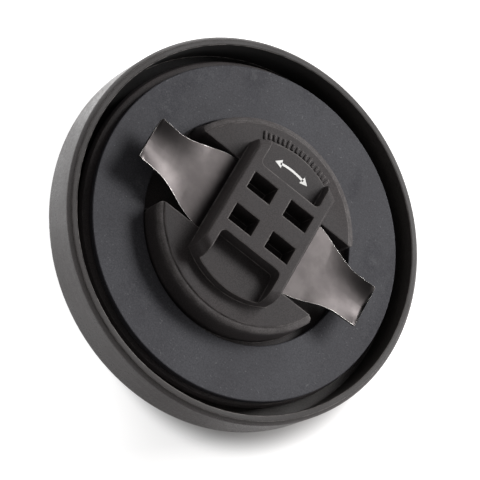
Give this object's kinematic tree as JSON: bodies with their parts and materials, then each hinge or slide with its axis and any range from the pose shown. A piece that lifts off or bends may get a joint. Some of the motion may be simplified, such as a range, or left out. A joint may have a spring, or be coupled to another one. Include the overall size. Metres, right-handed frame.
{
  "type": "oil filler cap",
  "caption": "Twist-lock oil filler cap lying on its bar grip, plug side up, with a flat rubber seal ring and a steel leaf spring through a slotted hub.",
  "frame": {"origin": "centre of the grip's resting face, which is the bottom centre of the bounding box", "axes": "+Z along the cap's own axis, from the grip to the locking post; +X along the leaf spring, from wing to wing; +Y along the post, square to the leaf spring"},
  "size_m": [0.086, 0.086, 0.0316],
  "materials": {
    "black_plastic": "moulded black, slightly worn",
    "spring_steel": "cold rolled, bright cut edges",
    "seal_rubber": "smooth dull black"
  },
  "bodies": {
    "root": {"cover": "black_plastic", "locking_plug": "black_plastic", "leaf_spring": "spring_steel", "seal_ring": "seal_rubber"}
  },
  "joints": []
}
